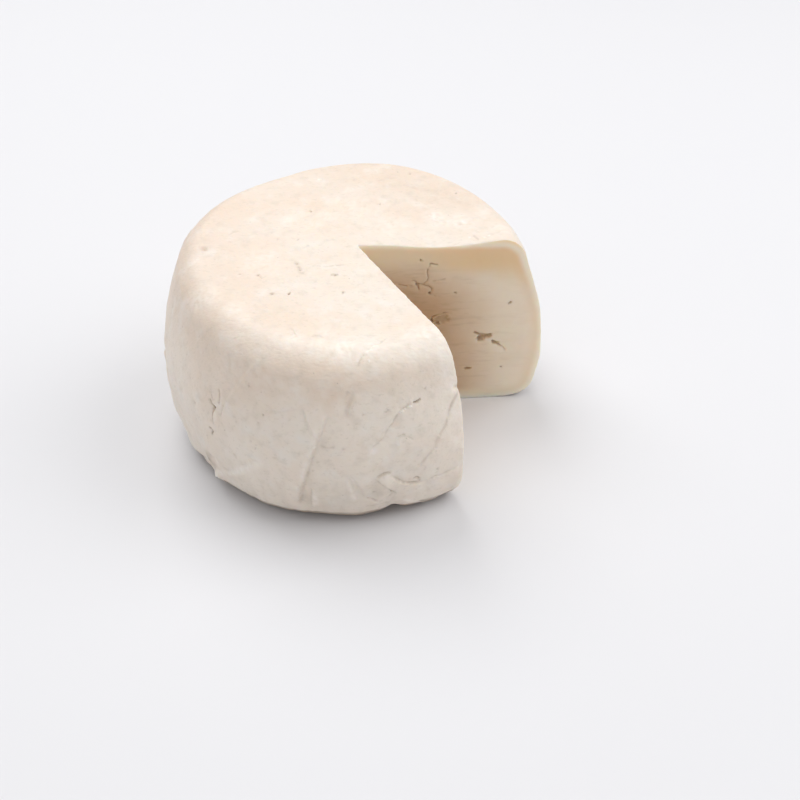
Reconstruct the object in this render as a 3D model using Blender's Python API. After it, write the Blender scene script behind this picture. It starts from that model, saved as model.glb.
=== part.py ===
"""A small aged goat cheese: a low round pressed in a cloth, with one wedge cut out of it.

Metres, +Z up. The cheese rests on its flat base at z = 0, with the middle of its plan at the origin.
Azimuths are in degrees, counted from +X towards +Y.
"""

import math

import bmesh
import bpy
from mathutils import Vector

# Round of cheese
RADIUS = 0.0655  # over the high places of the rind
HEIGHT = 0.0681
BELLY_SHARE = 0.459  # share of the height at which the side is widest
SHOULDER_DRAW = 0.142  # share of the radius that the side draws in towards the top
SHOULDER_DRAW_SWING = -0.015  # how much more at +X than on the average
FOOT_DRAW = 0.074  # the same towards the base
SHOULDER_ROUND = 0.0056  # on the average: it is full at the front (-Y) and tight at the back
SHOULDER_SWING = Vector((-0.0005, -0.0023))
FOOT_ROUND = 0.0075

# Plan: a round drawn out of true in the press, as (waves, share of the radius, azimuth of the
# crest), and flatter stretches in it, as (azimuth, half width in degrees, depth)
PLAN_LOBES = ((2, 0.0267, 13.1), (3, 0.0037, -55.3), (4, 0.0161, -17.0))
PLAN_FLATS = ((123, 13, 0.0009), (96, 7, -0.0003), (147, 8, -0.0003))

# Places that the press left flatter, or fuller where below nought: azimuth, height, half width
# in degrees, half height, depth
PRESSED_PLACES = (
    (7, 0.064, 10.5, 0.014, 0.0017),
    (-173, 0.034, 6, 0.008, 0.0006),
    (-163, 0.017, 5, 0.006, -0.0008),
)

# Top: it rises towards the back, and hands left low waves in it, as (place, breadth, height)
TOP_RISE = Vector((-0.0437, 0.0858))
TOP_WAVES = (
    ((0.027, 0.004), 0.012, -0.0010),
    ((0.055, 0.006), 0.012, 0.0020),
    ((-0.042, -0.018), 0.009, -0.0005),
    ((-0.020, 0.030), 0.014, 0.0004),
    ((0.010, -0.038), 0.010, -0.0004),
)

# Folds that the cloth left in the side: azimuth at the middle, lean in degrees per metre of
# height, lowest and highest point, depth
CLOTH_FOLDS = (
    (-102.0, 320.0, 0.006, 0.046, 0.0010),
    (-79.0, 950.0, 0.028, 0.049, 0.0012),
    (-65.0, 560.0, 0.018, 0.048, 0.0010),
    (-127.0, 420.0, 0.036, 0.061, 0.0006),
    (-133.5, 60.0, 0.026, 0.048, 0.0010),
    (-160.0, -380.0, 0.012, 0.050, 0.0009),
    (171.0, 300.0, 0.008, 0.040, 0.0010),
    (146.0, -500.0, 0.016, 0.052, 0.0009),
    (118.0, 420.0, 0.006, 0.044, 0.0011),
    (92.0, -260.0, 0.020, 0.054, 0.0008),
    (64.0, 520.0, 0.010, 0.046, 0.0010),
    (31.0, -360.0, 0.006, 0.042, 0.0010),
)
FOLD_WIDTH = 0.0028

# Foot: gathers of the cloth's knot, which pull the lowest edge in and out
GATHER_DEPTH = 0.0005
GATHER_WAVES = (17, 29)
GATHER_HEIGHT = 0.011

# Notch: where its two cuts meet, the direction of each, and how far the blade wandered
NOTCH_POINT = Vector((0.00190, 0.00323))
FRONT_CUT = -58.9
BACK_CUT = 1.6
BLADE_BOW = 0.0005
BLADE_REACH = 0.090
BLADE_CLEARANCE = 0.008

# Fineness of the faceted solid
STEPS_ROUND = 120
STEPS_ACROSS = 12
STEPS_SHOULDER = 7
STEPS_UP = 15
STEPS_FOOT = 6
STEPS_BASE = 3
STEPS_BLADE = 8

# Rind colour
IVORY = (0.86, 0.78, 0.66, 1.0)
RIND_ROUGHNESS = 0.55


def side_radius(azimuth, height):
    """Radius of the side at a height, before the plan is drawn out of true."""
    belly = BELLY_SHARE * HEIGHT
    if height > belly:
        draw = SHOULDER_DRAW + SHOULDER_DRAW_SWING * math.cos(azimuth)
        return RADIUS * (1 - draw * ((height - belly) / (HEIGHT - belly)) ** 1.5)
    return RADIUS * (1 - FOOT_DRAW * ((belly - height) / belly) ** 2)


def shoulder_round(azimuth):
    """Radius of the rounded shoulder."""
    return SHOULDER_ROUND + SHOULDER_SWING.dot(Vector((math.cos(azimuth), math.sin(azimuth))))


def section_places(azimuth):
    """Half section of the round, from the middle of the top to the middle of the base."""
    shoulder = shoulder_round(azimuth)
    rim = side_radius(azimuth, HEIGHT) - shoulder
    places = [(rim * step / STEPS_ACROSS, HEIGHT) for step in range(STEPS_ACROSS)]
    for step in range(STEPS_SHOULDER + 1):
        bend = math.pi / 2 * step / STEPS_SHOULDER
        height = HEIGHT - shoulder * (1 - math.cos(bend))
        places.append((side_radius(azimuth, height) - shoulder * (1 - math.sin(bend)), height))
    for step in range(1, STEPS_UP):
        share = step / STEPS_UP
        height = (HEIGHT - shoulder) * (1 - share) + FOOT_ROUND * share
        places.append((side_radius(azimuth, height), height))
    for step in range(STEPS_FOOT + 1):
        bend = math.pi / 2 * step / STEPS_FOOT
        height = FOOT_ROUND * (1 - math.sin(bend))
        places.append((side_radius(azimuth, height) - FOOT_ROUND * (1 - math.cos(bend)), height))
    sole = places[-1][0]
    places += [(sole * step / STEPS_BASE, 0.0) for step in range(STEPS_BASE - 1, -1, -1)]
    return places


def fade(value, low, high, soft):
    """1 between low and high, falling smoothly to 0 over a soft stretch at each end."""
    inside = min(value - low, high - value)
    share = min(max(inside / soft, 0.0), 1.0)
    return share * share * (3 - 2 * share)


def plan_stretch(azimuth):
    """Share by which the lobes and the flatter stretches change the radius at an azimuth."""
    stretch = 1.0
    for waves, share, crest in PLAN_LOBES:
        stretch += share * math.cos(waves * (azimuth - math.radians(crest)))
    flattened = 0.0
    for middle, half_width, depth in PLAN_FLATS:
        turn = math.degrees(math.remainder(azimuth - math.radians(middle), 2 * math.pi))
        flattened += depth / RADIUS * math.exp(-((turn / half_width) ** 2))
    return stretch * (1 - flattened)


def pressed_depth(azimuth, height):
    """How far the press left the side in at a place."""
    depth = 0.0
    for middle, level, half_width, half_height, deepest in PRESSED_PLACES:
        turn = math.degrees(math.remainder(azimuth - math.radians(middle), 2 * math.pi))
        away = (turn / half_width) ** 2 + ((height - level) / half_height) ** 2
        depth += deepest * math.exp(-away)
    return depth


def top_wave(flat, share_up):
    """How far the low waves of the top raise a place."""
    rise = 0.0
    for middle, breadth, height in TOP_WAVES:
        away = (flat - Vector(middle)).length / breadth
        rise += height * math.exp(-away * away)
    return rise * min(max(2 * share_up - 1, 0.0), 1.0)


def fold_depth(azimuth, height):
    """How far the cloth's folds press the side in at a place."""
    depth = 0.0
    for middle, lean, low, high, deepest in CLOTH_FOLDS:
        line = middle + lean * (height - (low + high) / 2)
        turn = math.remainder(azimuth - math.radians(line), 2 * math.pi)
        across = turn * RADIUS / FOLD_WIDTH
        depth += deepest * math.exp(-across * across) * fade(height, low, high, 0.008)
    return depth


def gather_depth(azimuth, height):
    """How far the gathers pull the foot in at a place."""
    first, second = GATHER_WAVES
    wave = 0.5 + 0.3 * math.cos(first * azimuth) + 0.2 * math.cos(second * azimuth + 1.0)
    return GATHER_DEPTH * wave * fade(height, 0.0, GATHER_HEIGHT, GATHER_HEIGHT / 2)


def press_into_shape(azimuth, radius, height):
    """Where the cloth and the press left a place of the true round."""
    out = Vector((math.cos(azimuth), math.sin(azimuth)))
    flat = out * radius * (plan_stretch(azimuth) - pressed_depth(azimuth, height) / RADIUS)
    if radius > 0.8 * RADIUS:
        flat -= out * (fold_depth(azimuth, height) + gather_depth(azimuth, height))
    share_up = height / HEIGHT
    raised = TOP_RISE.dot(flat) * share_up + top_wave(flat, share_up)
    return Vector((flat.x, flat.y, height + raised))


def object_from(shape, name):
    """An object of that name, made from a bmesh."""
    mesh = bpy.data.meshes.new(name)
    shape.to_mesh(mesh)
    shape.free()
    made = bpy.data.objects.new(name, mesh)
    bpy.context.scene.collection.objects.link(made)
    return made


def cheese_material():
    """Dry ivory rind."""
    material = bpy.data.materials.new("goat_cheese_rind")
    material.use_nodes = True
    surface = material.node_tree.nodes["Principled BSDF"]
    surface.inputs["Base Color"].default_value = IVORY
    surface.inputs["Roughness"].default_value = RIND_ROUGHNESS
    surface.inputs["Metallic"].default_value = 0.0
    return material


def cheese_wheel():
    """The whole round: a plain disc of rings spun about the upright axis, then pressed into shape."""
    shape = bmesh.new()
    rings = len(section_places(0.0)) - 1
    line = [shape.verts.new((math.sin(math.pi * step / rings), 0.0, -step)) for step in range(rings + 1)]
    edges = [shape.edges.new(pair) for pair in zip(line, line[1:])]
    bmesh.ops.spin(
        shape,
        geom=line + edges,
        cent=(0, 0, 0),
        axis=(0, 0, 1),
        angle=2 * math.pi,
        steps=STEPS_ROUND,
        use_merge=True,
    )
    bmesh.ops.remove_doubles(shape, verts=shape.verts, dist=1e-6)
    bmesh.ops.recalc_face_normals(shape, faces=shape.faces)
    for vertex in shape.verts:
        azimuth = math.atan2(vertex.co.y, vertex.co.x)
        radius, height = section_places(azimuth)[round(-vertex.co.z)]
        vertex.co = press_into_shape(azimuth, radius, height)
    wheel = object_from(shape, "cheese_wheel")
    wheel.data.materials.append(cheese_material())
    return wheel


def heading(azimuth):
    """Level unit vector along an azimuth in degrees."""
    return Vector((math.cos(math.radians(azimuth)), math.sin(math.radians(azimuth))))


def bow_side(shape, azimuth, side):
    """Bows one cut side of the wedge into the cheese, as a blade that bends a little."""
    along = heading(azimuth)
    into_cheese = Vector((-along.y, along.x)) * side
    for vertex in shape.verts:
        place = Vector(vertex.co[:2]) - NOTCH_POINT
        if abs(place.dot(into_cheese)) > 1e-6:
            continue
        bow = BLADE_BOW * math.sin(math.pi * place.dot(along) / RADIUS)
        bow *= math.sin(math.pi * vertex.co.z / HEIGHT)
        vertex.co += (into_cheese * bow).to_3d()


def notch_cutter():
    """The wedge that the blade took out: a tall three-sided block with two slightly bowed sides."""
    shape = bmesh.new()
    far_ends = [NOTCH_POINT + BLADE_REACH * heading(turn) for turn in (FRONT_CUT, BACK_CUT)]
    corners = [shape.verts.new((*place, -BLADE_CLEARANCE)) for place in (NOTCH_POINT, *far_ends)]
    foot = shape.faces.new(corners)
    block = bmesh.ops.extrude_face_region(shape, geom=[foot])
    raised = [item for item in block["geom"] if isinstance(item, bmesh.types.BMVert)]
    bmesh.ops.translate(shape, verts=raised, vec=(0, 0, HEIGHT + 3 * BLADE_CLEARANCE))
    bmesh.ops.subdivide_edges(shape, edges=shape.edges, cuts=STEPS_BLADE, use_grid_fill=True)
    bmesh.ops.recalc_face_normals(shape, faces=shape.faces)
    bow_side(shape, FRONT_CUT, -1)
    bow_side(shape, BACK_CUT, 1)
    cutter = object_from(shape, "notch_cutter")
    cutter.hide_render = True
    cutter.display_type = "WIRE"
    return cutter


def middle_of_plan(thing):
    """Middle of an object's box in plan, with its modifiers."""
    bpy.context.view_layer.update()
    finished = thing.evaluated_get(bpy.context.evaluated_depsgraph_get())
    places = [finished.matrix_world @ vertex.co for vertex in finished.data.vertices]
    across = [place.x for place in places]
    along = [place.y for place in places]
    return Vector(((min(across) + max(across)) / 2, (min(along) + max(along)) / 2, 0))


for old in list(bpy.data.objects):
    bpy.data.objects.remove(old)

wheel = cheese_wheel()
cutter = notch_cutter()
cut = wheel.modifiers.new("notch", "BOOLEAN")
cut.operation = "DIFFERENCE"
cut.solver = "EXACT"
cut.object = cutter
shift = middle_of_plan(wheel)
wheel.location -= shift
cutter.location -= shift
for polygon in wheel.data.polygons:
    polygon.use_smooth = True
wheel.data.set_sharp_from_angle(angle=math.radians(50))
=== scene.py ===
import math
import random

import bmesh
import bpy
import numpy as np
from mathutils import Matrix, Vector, kdtree, noise
from mathutils.bvhtree import BVHTree


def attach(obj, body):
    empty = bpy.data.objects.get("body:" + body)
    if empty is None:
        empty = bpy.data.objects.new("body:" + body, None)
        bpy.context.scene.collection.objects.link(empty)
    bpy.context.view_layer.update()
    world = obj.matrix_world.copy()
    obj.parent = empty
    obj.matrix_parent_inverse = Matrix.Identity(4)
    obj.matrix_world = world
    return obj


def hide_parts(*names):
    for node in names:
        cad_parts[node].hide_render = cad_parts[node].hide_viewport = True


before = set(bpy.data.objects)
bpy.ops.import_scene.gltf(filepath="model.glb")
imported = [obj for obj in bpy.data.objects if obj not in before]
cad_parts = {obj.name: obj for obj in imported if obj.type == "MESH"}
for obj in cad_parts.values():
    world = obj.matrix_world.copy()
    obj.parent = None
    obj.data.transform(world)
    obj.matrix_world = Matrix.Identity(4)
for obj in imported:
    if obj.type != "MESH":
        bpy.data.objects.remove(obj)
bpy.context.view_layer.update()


# ----------------------------------------------------------
# Camera. It stands where the photograph was taken from, under half a metre away, and looks
# down on the cheese at 39 degrees. Marks seen in the photograph are found along its lines of
# sight, as (across, down) in a frame of 800 by 800.

MM = 0.001
WHEEL_AXIS = Vector((0.42 * MM, -0.14 * MM, 0))  # the round's own axis, beside the box's middle
EYE = WHEEL_AXIS + Vector((14.9 * MM, -343.1 * MM, 281.1 * MM))
LOOKING_DOWN = 38.99
HELD_ASLANT = -1.42
PHOTO_WIDTH = 800
FOCAL_PIXELS = 1200


def linked(name, data):
    """A new object in the scene, for a camera, a mesh or a lamp."""
    made = bpy.data.objects.new(name, data)
    bpy.context.scene.collection.objects.link(made)
    return made


camera_data = bpy.data.cameras.new("camera")
camera_data.sensor_width = 36
camera_data.lens = camera_data.sensor_width * FOCAL_PIXELS / PHOTO_WIDTH
camera_data.clip_start = 0.01
camera = linked("camera", camera_data)
aim = Matrix.Rotation(math.radians(90 - LOOKING_DOWN), 4, "X")
aim @= Matrix.Rotation(math.radians(HELD_ASLANT), 4, "Z")
camera.matrix_world = Matrix.Translation(EYE) @ aim
bpy.context.scene.camera = camera


def line_of_sight(pixel):
    """Direction in which the camera sees a pixel."""
    across, down = pixel
    half = PHOTO_WIDTH / 2
    return (aim.to_3x3() @ Vector((across - half, half - down, -FOCAL_PIXELS))).normalized()


# ----------------------------------------------------------
# The round. Pressed curd in one piece, rind and paste together, with a belly, a soft shoulder
# and a foot that turns under. It came out of its mould a little out of round, with a top that
# rises towards the back.

RADIUS = 65 * MM
HEIGHT = 67.9 * MM
# From its belly the side draws in, by shares of the radius, at the top more on the left
BELLY = 0.459 * HEIGHT
TOP_DRAW, TOP_DRAW_LEFT = 0.142, 0.015
FOOT_DRAW = 0.074
# Radius of the shoulder in millimetres, and how much tighter it is at the right and at the back
SHOULDER, TIGHTER_RIGHT, TIGHTER_BACK = 5.6, 0.5, 2.3
FOOT_ROUND = 7.5 * MM
UNDERCUT = 5 * MM
UNDERCUT_FROM = math.radians(54)
TOP_RISE = np.array((-0.0437, 0.0858))  # slope towards the right and towards the back
# The plan's lobes: how many go round, share of the radius, azimuth of one. Its flats, which are
# bulges where below nought: azimuth, half width in degrees, depth
PLAN_LOBES = ((2, 0.0267, 13.1), (3, 0.0037, -55.3), (4, 0.0161, -17.0))
PLAN_FLATS = ((123, 13, 0.9 * MM), (96, 7, -0.3 * MM), (147, 8, -0.3 * MM))
# Places that the press left flatter, or fuller where below nought: azimuth, height, half width
# in degrees, half height, depth
PRESSED = (
    (7, 64, 10.5, 14, 1.7), (-173, 34, 6, 8, 0.6), (-163, 17, 5, 6, -0.8), (119, 72, 8, 10, 0.4),
    (-56, 11.5, 4, 5, -1.1), (-56, 3, 3, 3, 0.5),
)
TINY = 1e-6  # as good as nothing, in metres or as a share
CAP_FACES = 98
SIDE_FACES = 80
SHOULDER_SHARE = 0.16
FOOT_SHARE = 0.18


def side_radius(azimuth, height):
    """Radius of the side, before the plan is drawn out of true; it leans in more at the left."""
    above = np.clip((height - BELLY) / (HEIGHT - BELLY), 0, 1)
    below = np.clip((BELLY - height) / BELLY, 0, 1)
    draw = TOP_DRAW - TOP_DRAW_LEFT * np.cos(azimuth)
    return RADIUS * (1 - draw * above**1.5 - FOOT_DRAW * below**2)


def shoulder_round(azimuth):
    """Radius of the shoulder: full at the front, tight at the back."""
    return (SHOULDER - TIGHTER_RIGHT * np.cos(azimuth) - TIGHTER_BACK * np.sin(azimuth)) * MM


def edges_along(shape, axis):
    """Edges of a box that run along X, Y or Z, by number."""
    return [e for e in shape.edges if abs((e.verts[0].co - e.verts[1].co)[axis]) > TINY]


def turned_from(azimuth, bearing):
    """Degrees from a bearing to each azimuth, the short way round."""
    return np.remainder(np.degrees(azimuth) - bearing + 180, 360) - 180


def bell(gap):
    """1 where the gap is nothing, falling softly away."""
    return np.exp(-(gap**2))


def turned_places(box):
    """Where each point of a box of 2 by 2 by 2 goes on the round, ring for ring."""
    x, y, z = box.T
    ring = np.maximum(abs(x), abs(y))
    safe = np.where(ring > 0, ring, 1)
    sideways = abs(x) >= abs(y)
    quarter = np.where(sideways, y / safe * np.sign(x), -x / safe * np.sign(y)) * math.pi / 4
    azimuth = quarter + np.where(sideways, np.where(x < 0, math.pi, 0), np.sign(y) * math.pi / 2)
    down = (1 - z) / 2
    turned = shoulder_round(azimuth)
    bend = np.clip(down / SHOULDER_SHARE, 0, 1) * math.pi / 2
    height = HEIGHT - turned + turned * np.cos(bend)
    radius = side_radius(azimuth, height) - turned * (1 - np.sin(bend))
    share = (down - SHOULDER_SHARE) / (1 - SHOULDER_SHARE - FOOT_SHARE)
    level = HEIGHT - turned + (FOOT_ROUND - HEIGHT + turned) * np.clip(share, 0, 1)
    height = np.where(share > 0, level, height)
    radius = np.where(share > 0, side_radius(azimuth, level), radius)
    bend = np.clip((down - 1 + FOOT_SHARE) / FOOT_SHARE, 0, 1) * math.pi / 2
    level = FOOT_ROUND * (1 - np.sin(bend))
    tucked = side_radius(azimuth, level) - FOOT_ROUND * (1 - np.cos(bend))
    tucked -= UNDERCUT * np.clip((bend - UNDERCUT_FROM) / (math.pi / 2 - UNDERCUT_FROM), 0, 1)
    height = np.where(bend > 0, level, height)
    radius = np.where(bend > 0, tucked, radius)
    radius = radius * np.where(abs(z) > 1 - TINY, ring, 1)
    stretch = sum(s * np.cos(w * (azimuth - math.radians(c))) for w, s, c in PLAN_LOBES)
    radius = radius * (1 + stretch)
    for middle, width, depth in PLAN_FLATS:
        radius -= depth * bell(turned_from(azimuth, middle) / width) * radius / RADIUS
    for middle, level, width, tall, depth in PRESSED:
        away = (turned_from(azimuth, middle) / width) ** 2 + ((height / MM - level) / tall) ** 2
        radius -= depth * MM * np.exp(-away) * radius / RADIUS
    flat = np.stack((radius * np.cos(azimuth), radius * np.sin(azimuth)), 1)
    height = height + flat @ TOP_RISE * height / HEIGHT
    return np.column_stack((flat + np.array(WHEEL_AXIS[:2]), height))


def places_of(shape):
    """Points of a bmesh as rows of numbers."""
    return np.array([v.co for v in shape.verts])


def split_edges(shape, edges, cuts=1):
    """Cuts edges into equal lengths and fills the grid between the cuts."""
    bmesh.ops.subdivide_edges(shape, edges=edges, cuts=cuts, use_grid_fill=True)
    shape.verts.index_update()


def move_to(shape, places):
    """Moves the points of a bmesh to the rows given."""
    for vertex, place in zip(shape.verts, places):
        vertex.co = place
    shape.normal_update()


wheel = bmesh.new()
bmesh.ops.create_cube(wheel, size=2)
for axis, faces in ((2, SIDE_FACES), (0, CAP_FACES), (1, CAP_FACES)):
    split_edges(wheel, edges_along(wheel, axis), faces - 1)
move_to(wheel, turned_places(places_of(wheel)))
plain_wheel = BVHTree.FromBMesh(wheel)


# ----------------------------------------------------------
# Marks of the cloth. The curd was wrapped and pressed in a cloth, whose pleats left creases,
# ledges and a few cracks in the side, gathered under the foot. Each is a line on the rind.

def seen_on_wheel(pixel):
    """The point of the round seen at a pixel or, past its edge, the nearest to that sight."""
    sight = line_of_sight(pixel)
    on_floor = EYE - sight * (EYE.z / sight.z)
    return plain_wheel.ray_cast(EYE, sight)[0] or plain_wheel.find_nearest(on_floor)[0]


def heading(azimuth):
    """Level unit vector along an azimuth in degrees."""
    turn = math.radians(azimuth)
    return Vector((math.cos(turn), math.sin(turn), 0))


def on_side(azimuth, height):
    """The point of the side at an azimuth in degrees and a height in millimetres."""
    start = WHEEL_AXIS + heading(azimuth) * 2 * RADIUS + Vector((0, 0, height * MM))
    return plain_wheel.ray_cast(start, -heading(azimuth))[0]


LINE_STEP = 0.4 * MM


def line_through(points, ease=1.6 * MM):
    """A smooth line on the round through a few points, and the rind's outward direction there."""
    points = np.array(points)
    run = np.concatenate(([0], np.cumsum(np.linalg.norm(np.diff(points, axis=0), axis=1))))
    steps = np.linspace(0, run[-1], max(3, int(run[-1] / LINE_STEP)))
    line = np.stack([np.interp(steps, run, points[:, k]) for k in range(3)], 1)
    reach = min(int(ease / LINE_STEP) // 2, (len(line) - 1) // 2)
    if reach:
        padded = np.concatenate((
            2 * line[0] - line[reach:0:-1], line, 2 * line[-1] - line[-2:-reach - 2:-1],
        ))
        window = np.ones(2 * reach + 1) / (2 * reach + 1)
        line = np.stack([np.convolve(padded[:, k], window, "valid") for k in range(3)], 1)
    found = [plain_wheel.find_nearest(Vector(place)) for place in line]
    return np.array([f[0] for f in found]), np.array([f[1] for f in found])


def across_line(places, line, outward, reach):
    """Which places lie within reach of a line, how far to its left, and how far along it."""
    boxed = (places > line.min(0) - reach) & (places < line.max(0) + reach)
    near = np.flatnonzero(boxed.all(1))
    if not len(near):
        return near, np.zeros(0), np.zeros(0)
    gaps = places[near][:, None] - line[None]
    closest = np.argmin((gaps**2).sum(2), axis=1)
    gap = gaps[np.arange(len(near)), closest]
    run = np.gradient(line, axis=0)
    run /= np.linalg.norm(run, axis=1)[:, None]
    left = np.cross(outward, run)[closest]
    distance = np.linalg.norm(gap, axis=1)
    across = np.where((gap * left).sum(1) >= 0, distance, -distance)
    kept = distance < reach
    share = closest / (len(line) - 1)
    return near[kept], across[kept], share[kept]


# Points in the photograph, then in millimetres: half width of the groove, its depth (below
# nought it stands up), how far the side on its right in the photograph stands proud (below
# nought, the side on its left), and last its tone: how brown it is, a stain that is partly
# painted shade in the groove (below nought, how pale, a painted highlight on a lit edge)
SEEN_CREASES = (
    # Fork at the left, and the fold beside it
    ((209, 398), (210.5, 401.5), (212.5, 405), (214, 408), 0.34, 1.1, 0.3, 0.95),
    ((213.5, 408), (212.5, 412), (212, 418), (213, 425), 0.32, 0.9, 0.6, 0.8),
    ((219, 388), (220.3, 394), (219.6, 400), (218.5, 405), 0.3, 0.7, 0.5, 0.85),
    ((208, 427), (211, 428.5), (212.5, 430.5), (211, 435), 0.34, 0.6, 0.2, 0.75),
    ((211, 391), (211.5, 396), (213, 402), 0.32, 0.3, 0.2, 0.3),
    ((215.5, 411), (215.5, 416), (215, 422), 0.55, 0, 0, -0.45),
    ((225, 405), (222, 411), (220, 417), 0.4, 0.25, 0.2, 0.25),
    ((257, 358), (249, 368), (239, 381), (229, 397), (222, 411), (218, 424), 0.6, 0.16, 0.4, 0.04),
    ((190, 346), (199, 368), (209, 384), 1.2, 0.12, 0.3, 0),
    ((214, 343), (224, 362), (230, 377), 1.2, 0.12, 0.3, 0),
    # Pleats in the middle
    ((388, 337), (378, 343), (370, 348), (364, 354), (360, 361), (357, 368), 0.4, 0.25, 0.15, 0.4),
    ((352, 383), (347, 391), (343, 399), 0.5, 0.12, -0.2, 0.08),
    ((355, 392), (350, 402), (347, 412), (346, 418), 0.5, 0.14, 0.6, 0.05),
    ((328, 414), (322, 430), (317, 441), (314, 450), 0.5, 0.2, -0.9, 0.12),
    ((316, 442), (312, 456), (308, 469), (304, 482), (301, 494), (300, 506), 0.5, 0.12, -1.6, 0.14),
    ((318, 422), (315, 433), (312.5, 445), (308.5, 458), (304.5, 470), (301, 483), 0.8, 0, 0, -0.6),
    ((303, 408), (306, 422), (310, 431), (315, 438), 0.45, 0.12, 0.45, 0.06),
    ((320, 445), (326, 448), (331, 447.5), (336, 446), 0.34, 0.35, 0.15, 0.2),
    ((262, 416), (272, 412), (286, 411), (300, 409), 0.4, 0.12, 0.12, 0.05),
    ((312, 488), (311, 496), (311.5, 508), 0.45, 0.1, 1, 0),
    ((314.5, 492), (315.5, 500), (315, 508), 0.9, -0.2, 0, -0.7),
    ((298, 484), (297, 490), 0.7, 0, 0, -0.4),
    ((345, 474), (351, 487), (355, 503), 0.9, -0.25, 0, -0.5),
    ((339, 455), (332, 470), (328, 488), 1, 0.05, 0.5, 0),
    ((347, 474), (352, 487), (358, 502), 0.5, 0.16, -0.8, 0),
    ((353, 478), (360, 490), (366, 499), 0.45, 0.3, 0.5, 0.12),
    # The slash at the right, open above, closing to a ledge below
    ((421.5, 398.5), (418, 401), (412.5, 403), 0.3, 0.6, 0.3, 0.75),
    ((412, 403.5), (408, 406), (403, 409), (399, 412), 0.3, 0.5, 0.4, 0.3),
    ((411.5, 405), (408.5, 406.5), (406, 408), 0.38, -0.3, 0, -1),
    ((404.5, 409), (402, 410.8), (399.5, 412.5), 0.36, -0.3, 0, -1),
    ((399.5, 411.5), (397, 415), (394, 420), (391, 425), (388, 429), 0.34, 0.25, -0.6, 0.36),
    ((388, 428), (385, 433), (383, 438), (378, 443), 0.36, 0.15, -0.6, 0.26),
    ((379, 442), (374, 446), (370, 451), 0.36, 0.15, -0.55, 0.2),
    ((371, 449), (368, 461), (366, 474), (364, 484), 0.8, 0.15, -0.45, 0),
    ((460, 390), (453, 402), (449.5, 410), (447.5, 418), 0.36, 0.25, 0.5, 0.16),
    ((447.5, 417), (446, 425), (442, 431), (438, 437), 0.34, 0.15, 0.45, 0.13),
    ((439, 435), (437, 441), (435, 448), 0.6, 0.06, 0.5, 0.07),
    ((435, 448), (427, 456), (419, 468), 0.4, 0.1, 0.45, 0.07),
    ((395, 438), (400, 436.5), (406, 436.5), (414, 440), 0.34, 0.3, -0.25, 0.25),
    ((401.5, 434.5), (404, 435.5), (406, 435.5), 0.34, 0.4, 0, 0.3),
    ((398, 439), (396, 445), (392, 452), (391, 459), 0.9, 0, 0.6, -0.4),
    ((381, 452), (379, 466), (384, 478), 1.2, 0.1, 0.3, 0),
    # The wrinkle low down by the cut, with its knot and its loop
    ((461, 463), (454, 468), (446, 472), (440, 475), (433, 477), (426, 480), 0.32, 0.35, 0.25, 0.22),
    ((414, 480.5), (415.5, 478), (418.5, 478), (420.5, 480), 0.32, 0.7, 0, 0.5),
    ((420, 480), (421.5, 481.5), (419, 482.5), 0.32, 0.4, 0, 0.35),
    ((424, 481), (420, 483), (413, 484), (406, 484), (401, 482), (395, 479), (389, 476),
     0.38, 0.5, 0.8, 0.35),
    ((392, 474), (386, 474), (381, 476), (376, 479), 0.34, 0.5, 0.6, 0.32),
    ((375, 479), (380, 483), (386, 487), (392, 490), (397, 494), 0.36, 0.45, 0.7, 0.18),
    ((396, 492), (390, 495), (384, 499), 0.36, 0.45, -0.3, 0.3),
    ((366, 498), (372, 500), (378, 502), 0.34, 0.5, -0.5, 0.2),
    ((369, 506), (378, 505), (388, 502), 0.34, 0.5, 0.3, 0.22),
    # Pale along the foot's edge: a painted highlight
    ((390, 502), (397, 499), (406, 500), (416, 501.5), (427, 500), (437, 495.5), (447, 491),
     (455, 486), 0.5, -0.1, 0, -0.6),
    # The chip at the lower left, and the ridge that runs from its curl
    ((206, 447), (212, 452), (217, 457), (222, 463), (227, 470), 0.5, 0.8, 1.8, 0.5),
    ((215.5, 458), (218, 463), (220, 468), 0.7, 0, 0, -0.5),
    ((223, 473), (231, 473), (240, 470.5), (252, 466), (264, 461), 1.1, -0.8, -0.6, -1),
    # Painted highlights: a pale line along the edge beside the cut, and the curl of that chip, raised
    # and painted pale
    ((458.5, 396), (461, 408), (462.3, 425), (463, 445), (462.5, 466), 0.45, 0, 0, -0.6),
    ((217.5, 474.5), (220.5, 472.5), (225, 471), (230, 472), 0.9, -0.7, 0, -1),
    # Scratches of the top
    ((295, 261), (297, 265), (300, 269), (303, 275), 0.6, 0.25, 0, 0.36),
    ((322, 267), (330, 266), (338, 265), (346, 265), 0.36, 0.2, 0, 0.3),
    ((330, 275), (335, 275), (339, 274), 0.42, 0.28, 0, 0.4),
    ((256, 273), (259, 275), (263, 279), 0.36, 0.35, 0, 0.35),
    ((228, 235), (234, 232), (240, 231), 0.3, 0.2, 0, 0.15),
    ((398, 178), (388, 179), (376, 181), 0.6, 0.2, 0.1, 0.12),
    ((432, 213), (438, 218), (447, 223), 0.6, 0.2, 0.15, 0.1),
    ((473, 236), (477, 239), (479, 242), 0.34, 0.3, 0, 0.25),
    ((394, 179), (404, 185), (420, 189), (440, 191), (458, 196), 0.8, 0.1, 0.15, 0.1),
    ((427, 211), (432, 217), (440, 223), (452, 226), (466, 224), (484, 216), 0.7, 0.12, -0.35, 0.08),
    ((486, 238), (494, 237), (502, 234), 0.5, 0.2, 0.2, 0.1),
    # Wrinkles along the front of the rim
    ((290, 328), (293, 331), (296, 336), 0.36, 0.14, 0.1, 0.14),
    ((312, 336), (318, 336), (324, 338), 0.36, 0.1, 0.1, 0.1),
    ((303, 336), (320, 338), (340, 339.5), (358, 339), (374, 337), 0.9, 0.12, 0.1, 0.1),
)
CREASE_REACH = 7 * MM
CREASE_SEED = 1.7
LINE_WANDER = 0.18 * MM
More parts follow.
